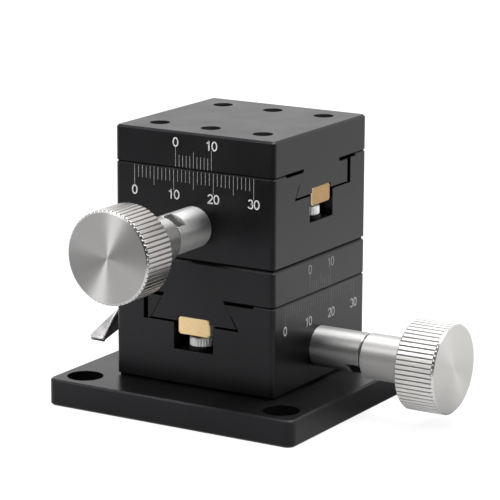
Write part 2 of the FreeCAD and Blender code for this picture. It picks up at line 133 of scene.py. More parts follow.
def mirrored_ray(wire):
    """1 for a ray that the object mirrors or lets through, and 0 for any other."""
    glossy = wire.add("ShaderNodeLightPath", output="Is Glossy Ray")
    return wire.maths("MAXIMUM", glossy, wire.add("ShaderNodeLightPath", output="Is Transmission Ray"))


white = (1, 1, 1, 1)

# How bright the room is on its sides: a range is of the cosine of the angle to a direction
dark_direction = (0.50, -0.85, 0.0)
back_range = (-0.95, -0.45)
back_level = 1.00
bright_side_level = 0.92
dark_side_range = (-0.25, 0.55)
dark_side_share = 0.18
camera_side_range = (0.62, 0.85)
camera_side_share = 0.25
left_direction = (-1, 0, 0)
left_side_range = (0.55, 0.95)
left_side_share = 0.60
lighting_share = 0.80

# How bright the floor is in reflections, as a painted reflection: ranges of distance towards the dark side,
# from the middle of the floor and from a patch. Close in and at the patch it is darkened as painted shadow
# of the object, and out to a ring round it it is painted brighter.
floor_dark_range = (0.03, 0.19)
near_floor_shadow_range = (0.03, 0.10)
near_floor_shadow_level = 0.40
painted_light_ring_range = (0.13, 0.22)
painted_light_ring_share = 1.3
painted_shadow_patch = (0.040, 0.012, 0.0)
painted_shadow_patch_range = (0.01, 0.03)
painted_shadow_patch_share = 0.25

floor_colour = (0.80, 0.80, 0.80, 1)
floor_glow = 0.86
floor_shadow_share = (0.20, 0.20, 0.20, 1)
floor_half_width = 4.0

world = bpy.data.worlds.new("room")
bpy.context.scene.world = world
world.use_nodes = True
world.node_tree.nodes.clear()
room = Wire(world.node_tree)
towards = room.add("ShaderNodeTexCoord", output="Generated")
front = towards.vector("DOT_PRODUCT", towards, dark_direction, output="Value")
left = towards.vector("DOT_PRODUCT", towards, left_direction, output="Value")
brightness = (front.between(*back_range, back_level, bright_side_level)
              * front.between(*dark_side_range, 1.0, dark_side_share)
              * front.between(*camera_side_range, 1.0, camera_side_share)
              * left.between(*left_side_range, 1.0, left_side_share))
share = mirrored_ray(room).between(0, 1, lighting_share, 1.0)
lit = room.add("ShaderNodeBackground", None, {"Color": white, "Strength": brightness * share})
seen = room.add("ShaderNodeBackground", None, {"Color": white, "Strength": 1.0})
mixed = room.add("ShaderNodeMixShader", None,
                 {0: room.add("ShaderNodeLightPath", output="Is Camera Ray"), 1: lit, 2: seen})
room.add("ShaderNodeOutputWorld", None, {"Surface": mixed})

floor_material = bpy.data.materials.new("floor_paper")
floor_material.use_nodes = True
floor_material.node_tree.nodes.clear()
paper = Wire(floor_material.node_tree)
place = paper.add("ShaderNodeTexCoord", output="Object")
front = place.vector("DOT_PRODUCT", place, dark_direction, output="Value")
distance = place.vector("LENGTH", place, output="Value")
from_painted_shadow_patch = place.vector("DISTANCE", place, painted_shadow_patch, output="Value")
brightness = (front.between(*floor_dark_range, bright_side_level, bright_side_level * dark_side_share)
              * distance.between(*near_floor_shadow_range, near_floor_shadow_level, 1.0)
              * distance.between(*painted_light_ring_range, painted_light_ring_share, 1.0)
              * from_painted_shadow_patch.between(*painted_shadow_patch_range, painted_shadow_patch_share, 1.0))
plain = paper.add("ShaderNodeBsdfDiffuse", None, {"Color": floor_colour})
shaded = paper.add("ShaderNodeBsdfDiffuse", None, {"Color": floor_shadow_share})
glow = paper.add("ShaderNodeEmission", None, {"Color": white, "Strength": floor_glow})
bright = paper.add("ShaderNodeAddShader", None, {0: shaded, 1: glow})
# In reflections the floor glows with this painted brightness instead of being lit
painted_floor_reflection = paper.add("ShaderNodeEmission", None, {"Color": white, "Strength": brightness})
lit = paper.add("ShaderNodeMixShader", None, {0: mirrored_ray(paper), 1: plain, 2: painted_floor_reflection})
seen = paper.add("ShaderNodeMixShader", None,
                 {0: paper.add("ShaderNodeLightPath", output="Is Camera Ray"), 1: lit, 2: bright})
paper.add("ShaderNodeOutputMaterial", None, {"Surface": seen})

floor_corners = [(x * floor_half_width, y * floor_half_width, 0)
                 for x, y in ((-1, -1), (1, -1), (1, 1), (-1, 1))]
floor_mesh = bpy.data.meshes.new("floor")
floor_mesh.from_pydata(floor_corners, [], [(0, 1, 2, 3)])
floor_mesh.materials.append(floor_material)
floor = bpy.data.objects.new("floor", floor_mesh)
bpy.context.scene.collection.objects.link(floor)


# Lamps
# A wide soft box overhead lights the tops, one on the right towards the back lights that side, and one
# high up in front lights the scales and the knobs. Sizes are in metres and powers in watts.
def soft_box(name, place, target, width, height, power):
    lamp = bpy.data.lights.new(name, "AREA")
    lamp.shape = "RECTANGLE"
    lamp.size, lamp.size_y, lamp.energy = width, height, power
    box = bpy.data.objects.new(name, lamp)
    aim = (Vector(target) - Vector(place)).to_track_quat("-Z", "Y")
    box.matrix_world = Matrix.LocRotScale(Vector(place), aim, None)
    bpy.context.scene.collection.objects.link(box)


soft_box("overhead_box", (0.05, 0.15, 0.80), (0, 0, 0.03), 0.70, 0.60, 8.0)
soft_box("right_box", (0.70, 0.25, 0.45), (0, 0, 0.03), 0.30, 0.60, 2.0)
soft_box("front_box", (-0.27, -0.60, 0.72), (0, 0, 0.04), 0.45, 0.35, 4.5)


# Base plate
# Square plate of aluminium, milled, bead blasted and anodised black, with a small bevel all round. Four
# counterbored corner holes take its bolts.
def principled(name, build):
    """Material whose Principled shader gets what build(wire) gives: values, and links for what varies."""
    material = bpy.data.materials.new(name)
    material.use_nodes = True
    tree = material.node_tree
    tree.nodes.clear()
    wire = Wire(tree)
    shader = wire.add("ShaderNodeBsdfPrincipled", None, build(wire))
    wire.add("ShaderNodeOutputMaterial", None, {"Surface": shader})
    return material


def softened(wire, edge, height, depth):
    """Normal with the edges rounded off a little and a relief of the given depth on it."""
    rounded = wire.add("ShaderNodeBevel", {"samples": 4}, {"Radius": edge})
    return wire.add("ShaderNodeBump", None, {"Height": height, "Distance": depth, "Normal": rounded})


def anodised(wire):
    place = wire.add("ShaderNodeTexCoord", output="Object")
    grain = place.noise(0.09 * mm, 3.0)
    cloud = place.noise(9 * mm)
    return {
        "Base Color": cloud.between(0.3, 0.7).blend((0.0036, 0.0036, 0.0042, 1), (0.0056, 0.0056, 0.0063, 1)),
        "Roughness": cloud.between(0.3, 0.7, 0.25, 0.31) + grain * 0.06,
        "Specular IOR Level": 0.36,
        "Specular Tint": (0.94, 0.95, 1.0, 1),
        "Normal": softened(wire, 0.12 * mm, grain, 0.004 * mm),
    }


def dress(node, material):
    """Gives a CAD node its finish."""
    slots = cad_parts[node].material_slots
    for slot in slots:
        slot.material = material
    if not slots:
        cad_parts[node].data.materials.append(material)


black_anodised = principled("black_anodised", anodised)
dress("base_plate", black_anodised)


# Bodies and sliders of the two stages
# Each is milled from the same aluminium as the base, with dovetail ways between them, and anodised black.
# The six holes in the top are tapped, and so are the two for the gib's screws in each body's side.
stages = ("lower", "upper")
unit_turn = {"lower": math.radians(90), "upper": 0.0}
fixed_body = {"lower": "base", "upper": "lower_carriage"}
moving_body = {"lower": "lower_carriage", "upper": "upper_carriage"}
unit_place = {stage: Matrix.Translation((0, 0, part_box(f"{stage}_body")[0].z))
              @ Matrix.Rotation(unit_turn[stage], 4, "Z") for stage in stages}
for stage in stages:
    dress(f"{stage}_body", black_anodised)
    dress(f"{stage}_slider", black_anodised)


def unit_box(stage, piece):
    """Lowest and highest corner of a CAD piece, in its unit's own frame."""
    corners = [unit_place[stage].inverted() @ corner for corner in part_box(f"{stage}_{piece}")]
    return Vector(map(min, *corners)), Vector(map(max, *corners))


join_distance = 1e-6


def add_piece(name, mesh, place, material, body, sharp=35.0):
    """Puts a mesh in the scene as a smooth piece with sharp edges, riding on a body."""
    shape = bmesh.new()
    shape.from_mesh(mesh)
    bmesh.ops.remove_doubles(shape, verts=shape.verts, dist=join_distance)
    bmesh.ops.dissolve_degenerate(shape, edges=shape.edges, dist=join_distance)
    bmesh.ops.recalc_face_normals(shape, faces=shape.faces)
    for face in shape.faces:
        face.smooth = True
    for edge in shape.edges:
        edge.smooth = edge.calc_face_angle(0) < math.radians(sharp)
    shape.to_mesh(mesh)
    shape.free()
    mesh.materials.clear()
    mesh.materials.append(material)
    piece = bpy.data.objects.new(name, mesh)
    bpy.context.scene.collection.objects.link(piece)
    piece.matrix_world = place
    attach(piece, body)
    return piece


def grid_mesh(name, rows, closed=True):
    """Mesh through rows of equally many points. A closed one joins each row's ends."""
    count = len(rows[0])
    points = [point for row in rows for point in row]
    faces = []
    for row in range(len(rows) - 1):
        for n in range(count if closed else count - 1):
            a, b = row * count + n, row * count + (n + 1) % count
            faces.append((a, b, b + count, a + count))
    mesh = bpy.data.meshes.new(name)
    mesh.from_pydata(points, [], faces)
    return mesh


def joined(name, parts):
    """One mesh from (mesh, matrix) pairs."""
    shape = bmesh.new()
    for mesh, place in parts:
        copy = mesh.copy()
        copy.transform(place)
        shape.from_mesh(copy)
        bpy.data.meshes.remove(copy)
    mesh = bpy.data.meshes.new(name)
    shape.to_mesh(mesh)
    shape.free()
    return mesh


turn_steps = 40
thread_foot = 0.46
thread_crest = 0.07


def inner_thread(radius, pitch, length, depth):
    """Thread ridge round the wall of a hole along Z, from 0 down to -length.

    It grows to its full depth over a third of a turn.
    """
    foot, crest = thread_foot * pitch, thread_crest * pitch
    rows = []
    for n in range(int(length / pitch * turn_steps) + 1):
        angle = 2 * math.pi * n / turn_steps
        level = -pitch * n / turn_steps
        top = radius - depth * min(1.0, 3 * n / turn_steps)
        rows.append([Vector((r * math.cos(angle), r * math.sin(angle), level + rise))
                     for r, rise in ((radius, foot), (top, crest), (top, -crest), (radius, -foot))])
    return grid_mesh("inner_thread", rows, closed=False)


round_steps = 72


def ring(level, radius):
    """Points round the Z axis. The radius is a number or a function of the angle."""
    points = []
    for n in range(round_steps):
        angle = 2 * math.pi * n / round_steps
        r = radius(angle) if callable(radius) else radius
        points.append(Vector((r * math.cos(angle), r * math.sin(angle), level)))
    return points


def matt_black(wire):
    """Near-black matt lining, rough as from the tap: painted shade in the holes' mouths and the bodies'
    seams.
    """
    place = wire.add("ShaderNodeTexCoord", output="Object")
    grain = place.noise(0.08 * mm, 3.0)
    return {
        "Base Color": grain.between(0.3, 0.7).blend((0.0010, 0.0010, 0.0012, 1), (0.0020, 0.0020, 0.0022, 1)),
        "Roughness": grain.between(0.3, 0.7, 0.55, 0.70),
        "Specular IOR Level": 0.06,
        "Normal": wire.add("ShaderNodeBump", None, {"Height": grain, "Distance": 0.01 * mm}),
    }


painted_shade_lining = principled("painted_shade_lining", matt_black)
top_hole_radius = 1.65 * mm
top_hole_mouth = 0.6 * mm
top_hole_spacing = 13 * mm
top_hole_depth = 5 * mm
top_rim = 0.03 * mm
top_wall = 0.5 * mm
m4_pitch = 0.7 * mm
m4_depth = 0.16 * mm
liner = 0.01 * mm
top_level = unit_box("upper", "slider")[1].z
thread = inner_thread(top_hole_radius, m4_pitch, top_hole_depth - top_hole_mouth - m4_pitch, m4_depth)
# The holes' mouths are lined with near-black as painted shade
mouth = grid_mesh("mouth", [ring(-top_rim, top_hole_radius + top_hole_mouth - top_rim - liner),
                            ring(-top_hole_mouth, top_hole_radius - liner),
                            ring(-top_hole_mouth - top_wall, top_hole_radius - liner)])
hole_places = [Matrix.Translation((column * top_hole_spacing, row * top_hole_spacing, top_level))
               for column in (-1, 0, 1) for row in (-1, 1)]
thread_start = Matrix.Translation((0, 0, -top_hole_mouth - 0.4 * m4_pitch))
mouths_painted_shade = joined("top_hole_mouths_painted_shade", [(mouth, place) for place in hole_places])
threads = joined("top_threads", [(thread, place @ thread_start) for place in hole_places])
add_piece("top_hole_mouths_painted_shade", mouths_painted_shade, unit_place["upper"], painted_shade_lining, moving_body["upper"])
add_piece("top_threads", threads, unit_place["upper"], black_anodised, moving_body["upper"])

foot_step = 0.5 * mm
liner_levels = (0.03 * foot_step, 0.97 * foot_step)
corner_steps = 4


def square_ring(half_width, radius, level):
    """Points round a square with rounded corners."""
    points = []
    for quarter in range(4):
        for n in range(corner_steps + 1):
            angle = math.pi / 2 * (quarter + n / corner_steps)
            middle = Matrix.Rotation(math.pi / 2 * quarter, 2) @ Vector((1, 1)) * (half_width - radius)
            x = middle.x + radius * math.cos(angle)
            y = middle.y + radius * math.sin(angle)
            points.append(Vector((x, y, level)))
    return points


# Each body stands on a step, and a near-black liner in it paints shade into the seam under its edge
for stage in stages:
    half_width = unit_box(stage, "body")[1].x - foot_step + liner
    rings = [square_ring(half_width, foot_step, level) for level in liner_levels]
    add_piece(f"{stage}_seam_painted_shade", grid_mesh("recess", rings), unit_place[stage], painted_shade_lining,
              fixed_body[stage])


# Scales
# Engraved and filled with white: 30 mm in millimetres on each body, and a ten-part vernier 9 mm long on
# each slider above it, with plain numerals.
line_proud = 0.012 * mm
line_width = 0.11 * mm
main_lines = {"plain": 2.65 * mm, "five": 4.0 * mm, "ten": 4.5 * mm}
vernier_lines = {"plain": 2.6 * mm, "five": 3.6 * mm, "ten": 4.2 * mm}
main_step = 1.0 * mm
main_half = 15
vernier_step = 0.9 * mm
vernier_half = 5
line_start = 0.32 * mm
numeral_height = 2.1 * mm
main_numeral_drop = 5.8 * mm
vernier_numeral_rise = 5.65 * mm


def ink(low_level, high_level):
    """White filling of an engraving, worn unevenly between two levels of grey."""
    def build(wire):
        place = wire.add("ShaderNodeTexCoord", output="Object")
        wear = place.noise(0.3 * mm, 3.0)
        low_colour, high_colour = ((level, level, 0.98 * level, 1) for level in (low_level, high_level))
        return {
            "Base Color": wear.between(0.35, 0.65).blend(low_colour, high_colour),
            "Roughness": wear.between(0.3, 0.7, 0.5, 0.65),
            "Normal": wire.add("ShaderNodeBump", None, {"Height": wear, "Distance": 0.004 * mm}),
        }
    return build


def arc(centre, radii, start, end, steps=14, power=1.0):
    """Points of an elliptical arc between two angles in degrees. A power under 1 squares it off."""
    points = []
    for n in range(steps + 1):
        angle = math.radians(start + (end - start) * n / steps)
        along, across = math.cos(angle), math.sin(angle)
        points.append((centre[0] + radii[0] * math.copysign(abs(along) ** power, along),
                       centre[1] + radii[1] * math.copysign(abs(across) ** power, across)))
    return points


# Middle lines of the numerals' strokes, for a height of 1
numeral_strokes = {
    "0": [arc((0, 0.5), (0.27, 0.43), 0, 360, 32, 0.95)],
    "1": [[(0.07, 0.0), (0.07, 1.0)], arc((-0.20, 1.00), (0.26, 0.24), -90, -15, 6)],
    "2": [arc((0, 0.69), (0.26, 0.24), 170, -35) + [(-0.06, 0.28), (-0.25, 0.07)],
          [(-0.33, 0.07), (0.33, 0.07)]],
    "3": [arc((-0.01, 0.72), (0.23, 0.21), 165, -90), arc((-0.01, 0.29), (0.27, 0.22), 90, -165)],
}
numeral_stroke = 0.14
numeral_advance = 0.72


def stroke_mesh(line):
    """Flat ribbon along a middle line in the XZ plane."""
    rows = []
    closed = math.dist(line[0], line[-1]) < join_distance
    for n, point in enumerate(line):
        before = line[n - 1] if n else line[-2] if closed else point
        after = line[n + 1] if n < len(line) - 1 else line[1] if closed else point
        along = (Vector(after) - Vector(before)).normalized()
        aside = Vector((-along.y, along.x)) * numeral_stroke / 2
        rows.append([Vector((point[0] + side * aside.x, 0, point[1] + side * aside.y)) for side in (-1, 1)])
    return grid_mesh("stroke", rows, closed=False)


def numeral_mesh(text):
    """Number in the XZ plane, centred on the origin, with its face towards -Y."""
    parts = []
    for place, digit in enumerate(text):
        x = (place - (len(text) - 1) / 2) * numeral_advance
        parts += [(stroke_mesh(line), Matrix.Translation((x, 0, -0.5))) for line in numeral_strokes[digit]]
    mesh = joined("numeral", parts)
    mesh.transform(Matrix.Diagonal((numeral_height, 1, numeral_height, 1)))
    return mesh


def line_mesh(length):
    """Engraved line upwards from the origin, with its face towards -Y."""
    side = line_width / 2
    mesh = bpy.data.meshes.new("line")
    mesh.from_pydata([(-side, 0, 0), (side, 0, 0), (side, 0, length), (-side, 0, length)], [], [(0, 1, 2, 3)])
    return mesh


def lines_mesh(name, face, level, up, step, half_count, lengths):
    """Lines on the face at y = face, from a level upwards (up = 1) or downwards (-1)."""
    parts = []
    for n in range(-half_count, half_count + 1):
        count = n + half_count
        kind = "ten" if count % 10 == 0 else "five" if count % 5 == 0 else "plain"
        low = level + line_start if up > 0 else level - line_start - lengths[kind]
        parts.append((line_mesh(lengths[kind]), Matrix.Translation((n * step, face - line_proud, low))))
    return joined(name, parts)


# The fill is the same white on both stages: the lower scale's copies are set darker as painted shade
line_inks = {"upper": principled("upper_line_ink", ink(0.30, 0.46)),
             "lower": principled("lower_line_ink_painted_shade", ink(0.10, 0.16))}
numeral_inks = {"upper": principled("upper_numeral_ink", ink(0.62, 0.80)),
                "lower": principled("lower_numeral_ink_painted_shade", ink(0.36, 0.50))}
vernier_inks = {"upper": numeral_inks["upper"], "lower": principled("lower_vernier_ink_painted_shade", ink(0.17, 0.27))}
for stage in stages:
    face = unit_box(stage, "body")[0].y
    parting = unit_box(stage, "body")[1].z
    main = lines_mesh("main", face, parting, -1, main_step, main_half, main_lines)
    vernier = lines_mesh("vernier", face, parting, 1, vernier_step, vernier_half, vernier_lines)
    main_numerals = joined("main_numerals", [
        (numeral_mesh(str(n)), Matrix.Translation(((n - main_half) * main_step, face - line_proud,
                                                   parting - main_numeral_drop)))
        for n in range(0, 2 * main_half + 1, 10)])
    vernier_numerals = joined("vernier_numerals", [
        (numeral_mesh(text), Matrix.Translation((side * vernier_half * vernier_step, face - line_proud,
                                                 parting + vernier_numeral_rise)))
        for side, text in ((-1, "0"), (1, "10"))])
    for name, mesh, material, body in (("scale_lines", main, line_inks, fixed_body),
                                       ("scale_numerals", main_numerals, numeral_inks, fixed_body),
                                       ("vernier_lines", vernier, line_inks, moving_body),
                                       ("vernier_numerals", vernier_numerals, vernier_inks, moving_body)):
        add_piece(f"{stage}_{name}", mesh, unit_place[stage], material[stage], body[stage])


# Racks
# Brass bar with straight teeth milled across its underside, let into the dovetail and held by two
# countersunk screws. Its ends are sawn and faced.
def brass(low_colour, high_colour, roughness, polish):
    def build(wire):
        place = wire.add("ShaderNodeTexCoord", output="Object")
        cloud = place.noise(1.2 * mm)
        marks = place.vector("MULTIPLY", place, (1.0, 1.0, 0.12)).noise(0.07 * mm)
        return {
            "Base Color": cloud.between(0.3, 0.7).blend(low_colour, high_colour),
            "Metallic": polish,
            "Roughness": cloud.between(0.3, 0.7, roughness - 0.04, roughness + 0.04) + marks * 0.06,
            "Normal": softened(wire, 0.06 * mm, marks, 0.003 * mm),
        }
    return build


# One brass in three copies: the lower bar's set bright and nearly non-metallic as painted light, the upper
# bar's darker as painted shade, and the end bevels' pale as a painted highlight
brass_painted_light = principled("brass_painted_light", brass((0.94, 0.67, 0.33, 1), (0.98, 0.74, 0.40, 1), 0.42, 0.06))
brass_painted_highlight = principled("brass_painted_highlight", brass((0.95, 0.78, 0.50, 1), (0.98, 0.84, 0.58, 1), 0.30, 0.5))
brass_painted_shade = principled("brass_painted_shade", brass((0.43, 0.27, 0.118, 1), (0.49, 0.32, 0.15, 1), 0.36, 1.0))
rack_corner = 0.45 * mm
rack_end_bevel = 0.22 * mm
rack_end_plain = 5.5 * mm
rack_module = 0.5 * mm
rack_play = 0.0125 * mm
tooth_depth = 2.25 * rack_module
tooth_foot = 1.25 * rack_module
rack_lift = 0.02 * mm
pressure_slope = math.tan(math.radians(20))


def rack_mesh(low, high):
    """Toothed bar along X between two corners, with its ends bevelled. Its screws stand a hair proud."""
    length, width = high.x - low.x, high.y - low.y
    bottom, middle = low.z + rack_lift, (low.z + high.z) / 2
    pitch = math.pi * rack_module
    half_gap = pitch / 4 + rack_play
    wide, narrow = half_gap + rack_module * pressure_slope, half_gap - tooth_foot * pressure_slope

    def outline(x, cut, share=1.0):
        edge, side = width / 2 - rack_corner, max(rack_corner, cut)
        points = [(edge, bottom + cut), (width / 2, bottom + side),
                  (width / 2, high.z - rack_corner), (edge, high.z),
                  (-edge, high.z), (-width / 2, high.z - rack_corner),
                  (-width / 2, bottom + side), (-edge, bottom + cut)]
        return [Vector((x, share * y, middle + share * (z - middle))) for y, z in points]

    small = 1 - 2 * rack_end_bevel / width
    stations = []
    reach = int((length / 2 - rack_end_plain) / pitch)
    for n in range(-reach, reach + 1):
        stations += [(n * pitch - wide, 0), (n * pitch - narrow, tooth_depth),
                     (n * pitch + narrow, tooth_depth), (n * pitch + wide, 0)]
    end = length / 2
    return grid_mesh("rack", [outline(-end, 0, 0), outline(-end, 0, small), outline(rack_end_bevel - end, 0)]
                     + [outline(x, cut) for x, cut in stations]
                     + [outline(end - rack_end_bevel, 0), outline(end, 0, small), outline(end, 0, 0)])


for stage, material in (("lower", brass_painted_light), ("upper", brass_painted_shade)):
    low, high = unit_box(stage, "rack")
    piece = add_piece(f"{stage}_toothed_bar", rack_mesh(low, high), unit_place[stage], material,
                      moving_body[stage], 20)
    # The end bevels get the painted highlight
    piece.data.materials.append(brass_painted_highlight)
    for face in piece.data.polygons:
        if abs(face.center.x) > high.x - rack_end_bevel and abs(face.normal.x) < 0.9:
            face.material_index = 1
    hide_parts(f"{stage}_rack")


# Gibs
# Wedge-shaped bars of aluminium, ground and anodised like the bodies, that take up the play of the
# dovetail. Two set screws in the body's side press each of them.
for stage in stages:
    dress(f"{stage}_gib", black_anodised)


# Screws
# Cap screws of stainless steel with knurled heads hold each unit down, on split spring washers. Socket
# set screws of dark steel press the gib, hold the bush and hold the knob on its shaft.
def screw_steel(low_colour, high_colour, polish, low_roughness, high_roughness):
    def build(wire):
        place = wire.add("ShaderNodeTexCoord", output="Object")
        cloud = place.noise(0.8 * mm)
        grain = place.noise(0.05 * mm)
        return {
            "Base Color": cloud.between(0.3, 0.7).blend(low_colour, high_colour),
            "Metallic": polish,
            "Roughness": cloud.between(0.3, 0.7, low_roughness, high_roughness),
            "Normal": wire.add("ShaderNodeBump", None, {"Height": grain, "Distance": 0.002 * mm}),
        }
    return build


def phosphated(wire):
    place = wire.add("ShaderNodeTexCoord", output="Object")
    grain = place.noise(0.06 * mm)
    return {
        "Base Color": grain.between(0.3, 0.7).blend((0.004, 0.004, 0.004, 1), (0.008, 0.008, 0.008, 1)),
        "Roughness": grain.between(0.3, 0.7, 0.50, 0.65),
        "Specular IOR Level": 0.15,
        "Normal": wire.add("ShaderNodeBump", None, {"Height": grain, "Distance": 0.004 * mm}),
    }


bright_screw = principled("bright_screw", screw_steel(
    (0.84, 0.84, 0.85, 1), (0.92, 0.92, 0.93, 1), 0.55, 0.30, 0.40))
washer_black = principled("washer_black", phosphated)
black_screw = principled("black_screw", screw_steel(
    (0.035, 0.034, 0.035, 1), (0.065, 0.063, 0.062, 1), 0.7, 0.34, 0.46))
m3_radius = 1.5 * mm
m3_pitch = 0.5 * mm
m3_depth = 0.22 * mm
m3_key = 2.0 * mm
m3_set_key = 1.5 * mm
m3_plain = 0.6 * mm
cap_screw_tip = 0.3 * mm
head_foot = 0.12 * mm
head_foot_bevel = 0.2 * mm
head_knurl_depth = 0.26 * mm
head_knurl_count = 24
head_shoulder = 0.1 * mm
head_edge = 0.18 * mm
head_rim = 0.12 * mm
key_depth = 1.2 * mm
key_bevel = 0.12 * mm
key_bevel_depth = 0.1 * mm
key_cone = 0.3 * mm
set_screw_tip = 0.4 * mm
set_screw_edge = 0.2 * mm
set_screw_key_depth = 1.0 * mm
set_screw_key_bevel = 0.08 * mm
set_screw_key_cone = 0.2 * mm
body_head_radius = 2.75 * mm
body_head_height = 2.0 * mm
gib_thread_depth = 0.13 * mm
gib_thread_room = 0.05 * mm
gib_thread_start = 0.1 * mm


def hexagon(across_flats):
    """Radius of a hexagon at each angle."""
    def radius(angle):
        return across_flats / 2 / math.cos(angle % math.radians(60) - math.radians(30))
    return radius


def knurled(radius, depth, count):
    """Radius of a straight knurl at each angle."""
    def at(angle):
        return radius - depth * (0.5 + 0.5 * math.cos(count * angle))
    return at


def thread_rows(length, tip_bevel):
    """Rows of an M3 thread, from the middle of its bevelled tip at -length upwards."""
    rows = [ring(-length, 0), ring(-length, m3_radius - tip_bevel), ring(-length + tip_bevel, m3_radius)]
    for n in range(1, int((length - m3_plain) / m3_pitch)):
        level = -length + tip_bevel + n * m3_pitch
        rows += [ring(level - m3_pitch / 2, m3_radius - m3_depth), ring(level, m3_radius)]
    return rows


def cap_screw(head_radius, head_height, length):
    """M3 screw with its head's seat at Z = 0, the head above and the thread below."""
    knurl = knurled(head_radius, head_knurl_depth, head_knurl_count)
    socket = hexagon(m3_key)
    rows = thread_rows(length, cap_screw_tip)
    rows += [ring(0, m3_radius), ring(0, head_radius - head_foot_bevel), ring(head_foot, knurl),
             ring(head_height - head_edge - head_shoulder, knurl),
             ring(head_height - head_edge, head_radius - head_shoulder),
             ring(head_height, head_radius - head_edge - head_rim),
             ring(head_height, lambda angle: socket(angle) + key_bevel),
             ring(head_height - key_bevel_depth, socket), ring(head_height - key_depth, socket),
             ring(head_height - key_depth - key_cone, 0)]
    return grid_mesh("cap_screw", rows)


def set_screw(length):
    """Headless M3 screw along Z: its socket end at 0 and its tip at -length."""
    socket = hexagon(m3_set_key)
    rows = thread_rows(length, set_screw_tip)
    rows += [ring(-set_screw_edge, m3_radius), ring(0, m3_radius - set_screw_edge),
             ring(0, lambda angle: socket(angle) + set_screw_key_bevel),
             ring(-set_screw_key_bevel, socket), ring(-set_screw_key_depth, socket),
             ring(-set_screw_key_depth - set_screw_key_cone, 0)]
    return grid_mesh("set_screw", rows)


towards_back = Matrix.Rotation(math.radians(-90), 4, "X")
for stage in stages:
    low, high = unit_box(stage, "body_screws")
    seat = high.z - body_head_height
    screw = cap_screw(body_head_radius, body_head_height, seat - low.z)
    offset = high.x - body_head_radius
    pair = joined(f"{stage}_hold_down_screws",
                  [(screw, Matrix.Translation((side * offset, 0, seat))) for side in (-1, 1)])
    piece = add_piece(f"{stage}_hold_down_screws", pair, unit_place[stage], bright_screw,
                      fixed_body[stage])
    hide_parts(f"{stage}_body_screws")
    dress(f"{stage}_spring_washers", washer_black)
    dress(f"{stage}_rack_screws", black_screw)

    low, high = unit_box(stage, "gib_screws")
    offset = high.x - m3_radius
    middle = (low.z + high.z) / 2
    screw = set_screw(high.y - low.y)
    pair = joined(f"{stage}_gib_set_screws",
                  [(screw, Matrix.Translation((side * offset, high.y, middle)) @ towards_back)
                   for side in (-1, 1)])
    piece = add_piece(f"{stage}_gib_set_screws", pair, unit_place[stage], black_screw,
                      fixed_body[stage])
    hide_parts(f"{stage}_gib_screws")
    back = unit_box(stage, "body")[1].y
    thread = inner_thread(m3_radius + gib_thread_room, m3_pitch, back - high.y - m3_pitch, gib_thread_depth)
    start = back - gib_thread_start
    pair = joined(f"{stage}_gib_threads",
                  [(thread, Matrix.Translation((side * offset, start, middle)) @ towards_back)
                   for side in (-1, 1)])
    add_piece(f"{stage}_gib_threads", pair, unit_place[stage], black_anodised,
              fixed_body[stage])


# Bushes, shafts and gears
# The bush is a turned steel sleeve, eccentric so that it sets the gear in mesh, with two wrench flats
# milled at its end. A ground shaft runs in it, with the pinion on its inner end.
tool_marks = 0.16 * mm


def turned_steel(low_colour, high_colour, roughness, marks_depth, spread=0.85, polish=1.0):
    """Finish of a piece turned about its own Z axis.

    The tool's marks run round the axis, so that highlights spread along and away from it.
    """
    def build(wire):
        place = wire.add("ShaderNodeTexCoord", output="Object")
        along = place.vector("DOT_PRODUCT", place, (0, 0, 1), output="Value")
        from_axis = place.vector("MULTIPLY", place, (1, 1, 0))
        radius = from_axis.vector("LENGTH", from_axis, output="Value")
        marks = wire.add("ShaderNodeTexNoise", {"noise_dimensions": "1D"},
                         {"W": radius + along, "Scale": 1 / tool_marks, "Detail": 3.0})
        return {
            "Base Color": marks.between(0.3, 0.7).blend(low_colour, high_colour),
            "Metallic": polish,
            "Roughness": marks.between(0.3, 0.7, roughness - 0.02, roughness + 0.02),
            "Anisotropic": spread,
            "Anisotropic Rotation": 0.25,
            "Normal": softened(wire, 0.08 * mm, marks, marks_depth),
        }
    return build


def milled_steel(low_level, high_level, roughness):
    """Finish of a flat or a bevel, between two levels of a warm grey."""
    def build(wire):
        place = wire.add("ShaderNodeTexCoord", output="Object")
        marks = place.vector("MULTIPLY", place, (1.0, 1.0, 0.2)).noise(0.25 * mm)
        low_colour, high_colour = (
            (level, 0.99 * level, 0.98 * level, 1) for level in (low_level, high_level))
        return {
            "Base Color": marks.between(0.3, 0.7).blend(low_colour, high_colour),
            "Metallic": 1.0,
            "Roughness": marks.between(0.3, 0.7, roughness - 0.02, roughness + 0.02),
            "Normal": softened(wire, 0.12 * mm, marks, 0.0005 * mm),
        }
    return build


bush_radius = 4.5 * mm
bush_edge = 0.3 * mm
bush_end_edge = 0.14 * mm
bush_flat_depth = 0.5 * mm
bush_flat_length = 3.3 * mm
bush_flat_turn = {"lower": math.radians(38), "upper": math.radians(27)}
bush_bore_radius = 2.53 * mm
bush_bore_edge = 0.25 * mm
bush_eccentricity = 0.4 * mm
cutter_width = 12 * mm
cutter_depth = 4 * mm


def closed_object(mesh):
    """Object of a mesh whose double points are joined and whose open ends are filled."""
    shape = bmesh.new()
    shape.from_mesh(mesh)
    bmesh.ops.remove_doubles(shape, verts=shape.verts, dist=join_distance)
    bmesh.ops.holes_fill(shape, edges=[edge for edge in shape.edges if edge.is_boundary])
    bmesh.ops.recalc_face_normals(shape, faces=shape.faces)
    shape.to_mesh(mesh)
    shape.free()
    piece = bpy.data.objects.new(mesh.name, mesh)
    bpy.context.scene.collection.objects.link(piece)
    return piece


def combined(mesh, operation, other):
    """Mesh of a boolean operation between two closed meshes."""
    parts = [closed_object(mesh), closed_object(other)]
    change = parts[0].modifiers.new("change", "BOOLEAN")
    change.operation, change.solver, change.object = operation, "EXACT", parts[1]
    bpy.context.view_layer.update()
    result = bpy.data.meshes.new_from_object(parts[0].evaluated_get(bpy.context.evaluated_depsgraph_get()))
    for part in parts:
        bpy.data.objects.remove(part)
    return result


